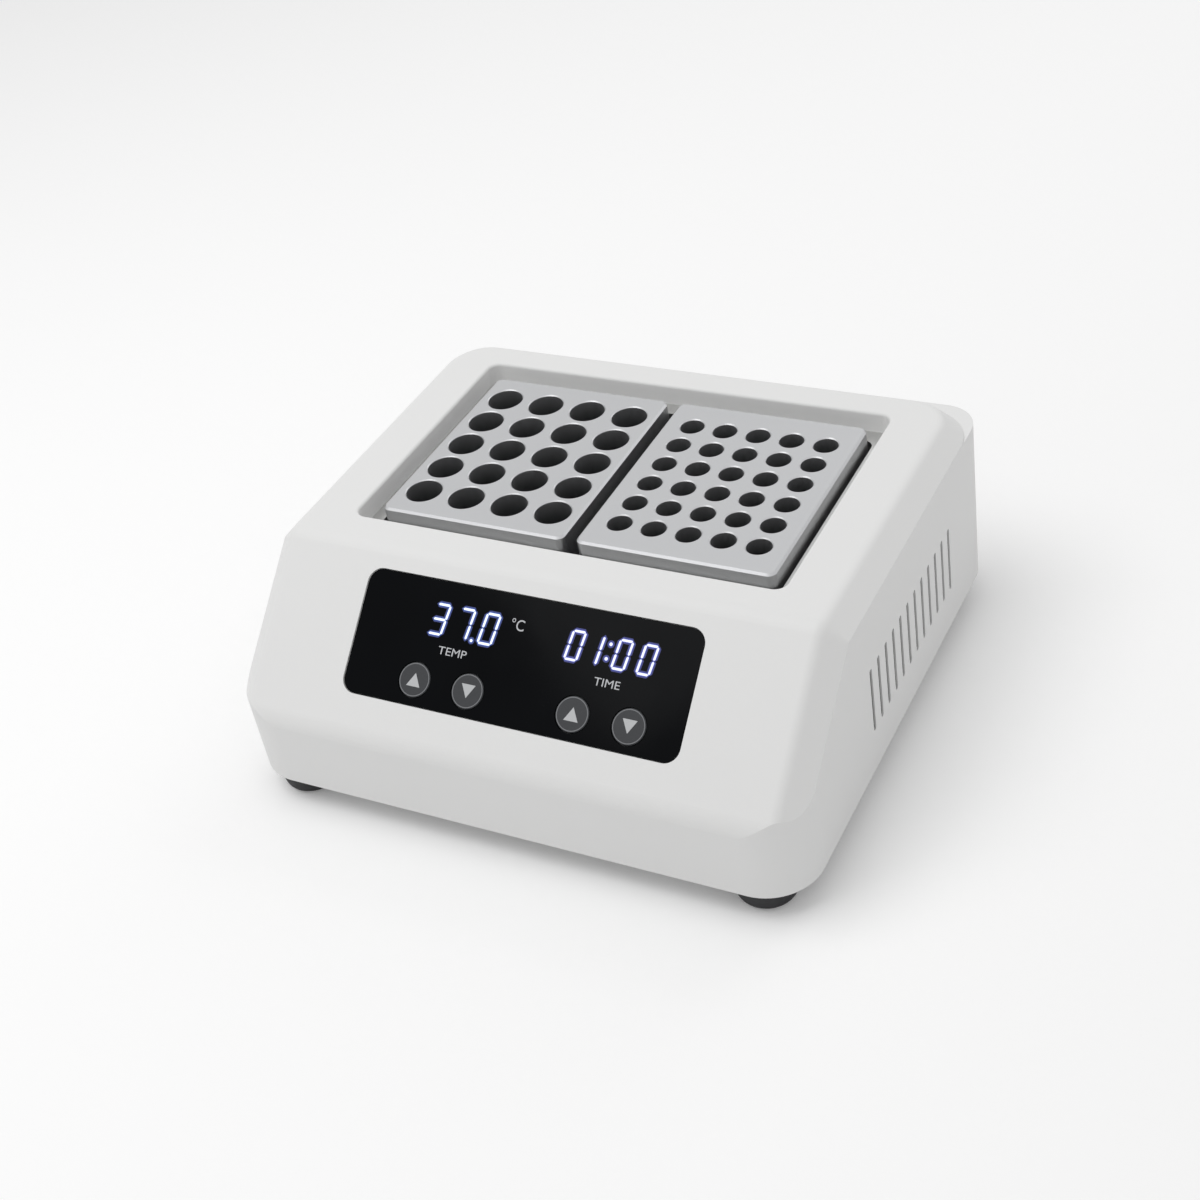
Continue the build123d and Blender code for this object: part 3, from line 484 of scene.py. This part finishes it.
# painted shade: bore walls go from silver to dark grey between rim_depth and shade_depth below the top;
# faces that point up and the outer sides stay silver
below_top = block.node(
    "ShaderNodeMapRange",
    {"interpolation_type": "SMOOTHSTEP"},
    {"Value": block_axes[2], "From Min": block_high.z - rim_depth, "From Max": block_high.z - shade_depth},
)
painted_shade_in_bore = below_top * (1 - facing_up)
for along, start, stop in (
    (block.size_of(block_axes[0]), block_low.x, block_high.x),
    (block_axes[1], block_low.y, block_high.y),
):
    painted_shade_in_bore = (along > start + block_edge) * (along < stop - block_edge) * painted_shade_in_bore
blast = block.noise(2600.0, grain_detail)
turned = block.noise(700.0, stretch=(0.02, 0.02, 1.0))
silver = block.varied(blast, block_silver, 0.04)
bore_rings_in_painted_shade = block.varied(turned, bore_painted_shade, 0.15)
block.give("Base Color", block.between(painted_shade_in_bore, silver, bore_rings_in_painted_shade))
block.grained(blast, 0.41, 0.05, 0.00001)
dress(block, "left_block", "right_block")

# ---- Heater ----------------------------------------------------------------------------------
# A milled aluminium plate under the blocks, an orange silicone heating mat pressed against it,
# foam round and under the well, the sensor in the plate and the cutout beneath it.
plate_milled = metal("plate_milled", (0.70, 0.70, 0.71), roughness=0.30, stretch=(14.0, 1.0, 1.0))
dress(plate_milled, "heater_plate")
mat_silicone = moulded(
    "mat_silicone", (0.56, 0.14, 0.035), roughness=0.6, grain=1000.0, depth=0.00005
)
dress(mat_silicone, "heating_mat")
foam = moulded(
    "foam", (0.70, 0.68, 0.62), roughness=0.85, grain=500.0, depth=0.00015, spread=0.08
)
dress(foam, "insulation_collar", "insulation_board")
dress(metal("sensor_turned", (0.62, 0.62, 0.63), roughness=0.28), "temperature_sensor")
dress(metal("cutout_pressed", (0.68, 0.68, 0.69), roughness=0.30), "thermal_cutout")

# ---- Power parts -----------------------------------------------------------------------------
# On the power board: a laminated transformer, two capacitors in blue sleeves, and a black
# anodised heat sink, all soldered by their pins.
sheet_edge = (0.10, 0.075, 0.03)
sheet_lacquer = (0.20, 0.16, 0.08)
transformer_iron = Look("transformer_iron", Specular_IOR_Level=0.4)
sheets = transformer_iron.noise(900.0, 1.0, (0.02, 1.0, 0.02))
transformer_iron.give("Base Color", transformer_iron.between(sheets, sheet_edge, sheet_lacquer))
transformer_iron.give("Roughness", 0.45 + sheets * 0.12)
dress(transformer_iron, "transformer")
capacitor_sleeve = moulded(
    "capacitor_sleeve", (0.02, 0.035, 0.12), roughness=0.25, depth=0.000003
)
dress(capacitor_sleeve, "capacitors")
sink_black = metal("sink_black", (0.06, 0.06, 0.065), roughness=0.42, stretch=(1.0, 1.0, 0.05))
dress(sink_black, "heat_sink")

# ---- Power inlet and switch ------------------------------------------------------------------
# Black moulded inlet with bright pins and a fuse drawer that slides out, and a black rocker that
# tips in its own snapped-in frame.
inlet_black = moulded("inlet_black", (0.018, 0.018, 0.020), roughness=0.45, spread=0.10)
dress(inlet_black, "power_inlet", "fuse_drawer", "switch_frame")
dress(metal("pin_bright", (0.74, 0.68, 0.52), roughness=0.22), "inlet_pins")
rocker_black = moulded(
    "rocker_black", (0.016, 0.016, 0.018), roughness=0.28, depth=0.000004, spread=0.10
)
dress(rocker_black, "power_rocker")

# ---- Fuse ------------------------------------------------------------------------------------
# A glass tube with a pressed metal cap at each end, held in the drawer.
fuse_glass = (0.86, 0.90, 0.90)
cap_metal = (0.66, 0.66, 0.66)
glass_cover = 0.35
glass_share = 0.7
fuse_low, fuse_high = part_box("fuse")
fuse_middle = (fuse_low.x + fuse_high.x) / 2
cap_start = (fuse_high.x - fuse_low.x) / 2 * glass_share
fuse = Look("fuse_glass")
cap = fuse.size_of(fuse.axis(fuse.place(), 0) - fuse_middle) > cap_start
fuse.give("Base Color", fuse.between(cap, fuse_glass, cap_metal))
fuse.give("Metallic", cap)
fuse.give("Roughness", 0.05 + cap * 0.2)
fuse.give("Alpha", glass_cover + cap * (1 - glass_cover))
dress(fuse, "fuse")

# ---- Floor and light -------------------------------------------------------------------------
# A plain white studio table, one large soft lamp over it to the left and in front, a weaker one
# from the back, and an even pale surround.
floor_half = 20.0
floor_white = (0.93, 0.93, 0.93)
floor_glow = (0.11, 0.11, 0.11)
floor_corners = ((-1, -1), (1, -1), (1, 1), (-1, 1))
floor_mesh = bpy.data.meshes.new("floor")
table = bmesh.new()
table.faces.new([table.verts.new((x * floor_half, y * floor_half, 0.0)) for x, y in floor_corners])
table.to_mesh(floor_mesh)
table.free()
floor_look = Look("floor_white", Roughness=0.9, Specular_IOR_Level=0.1, Emission_Strength=1.0)
floor_look.give("Base Color", floor_look.varied(floor_look.noise(3.0), floor_white, 0.0054))
floor_seen = floor_look.node("ShaderNodeLightPath", output="Is Camera Ray")
floor_look.give("Emission Color", floor_look.between(floor_seen, (0.0, 0.0, 0.0), floor_glow))
floor_mesh.materials.append(floor_look.material)
floor = bpy.data.objects.new("floor", floor_mesh)
bpy.context.scene.collection.objects.link(floor)

lamp_target = Vector((0.0, 0.0, 0.04))


def lamp(name, place, size, power):
    light = bpy.data.lights.new(name, "AREA")
    light.size = size
    light.energy = power
    holder = bpy.data.objects.new(name, light)
    holder.location = place
    holder.rotation_euler = (lamp_target - Vector(place)).to_track_quat("-Z", "Y").to_euler()
    bpy.context.scene.collection.objects.link(holder)


lamp("key_lamp", (-0.45, -0.30, 1.25), size=0.9, power=6.2)
lamp("back_lamp", (0.30, 1.10, 0.90), size=0.8, power=2.0)


class Surround(Look):
    """The pale surround, whose shader is the world's background."""

    def __init__(self, name):
        world = bpy.data.worlds.new(name)
        world.use_nodes = True
        bpy.context.scene.world = world
        self.tree = world.node_tree
        self.shader = self.tree.nodes["Background"]


surround_level = 0.58
seen_rays = ("Is Camera Ray", "Is Glossy Ray", "Is Transmission Ray")
surround = Surround("surround")
seen = 0.0
for ray in seen_rays:
    path = surround.node("ShaderNodeLightPath", output=ray)
    seen = surround.node("ShaderNodeMath", {"operation": "MAXIMUM"}, {0: path, 1: seen})
surround.give("Color", (1.0, 1.0, 1.0))
surround.give("Strength", surround_level + seen * (1 - surround_level))

# ---- Camera ----------------------------------------------------------------------------------
# It stands in front to the right and above, and looks down at the well and the panel, a little
# tilted, as the picture was taken.
camera_place = (0.3077829, -0.4886431, 0.4793495)
camera_yaw = -0.5744047
camera_pitch = 0.6501133
camera_roll = -0.1867362
camera_focal = 1905.3466
image_width = 1200
sensor_width = 36.0
forward = Vector(
    (sin(camera_yaw) * cos(camera_pitch), cos(camera_yaw) * cos(camera_pitch), -sin(camera_pitch))
)
level_right = Vector((cos(camera_yaw), -sin(camera_yaw), 0.0))
level_up = level_right.cross(forward)
right = level_right * cos(camera_roll) + level_up * sin(camera_roll)
upward = -level_right * sin(camera_roll) + level_up * cos(camera_roll)
camera_data = bpy.data.cameras.new("camera")
camera_data.sensor_width = sensor_width
camera_data.lens = camera_focal / image_width * sensor_width
camera = bpy.data.objects.new("camera", camera_data)
turn = Matrix((right, upward, -forward)).transposed().to_4x4()
camera.matrix_world = Matrix.Translation(camera_place) @ turn
bpy.context.scene.collection.objects.link(camera)
bpy.context.scene.camera = camera
bpy.context.scene.view_settings.view_transform = "Standard"
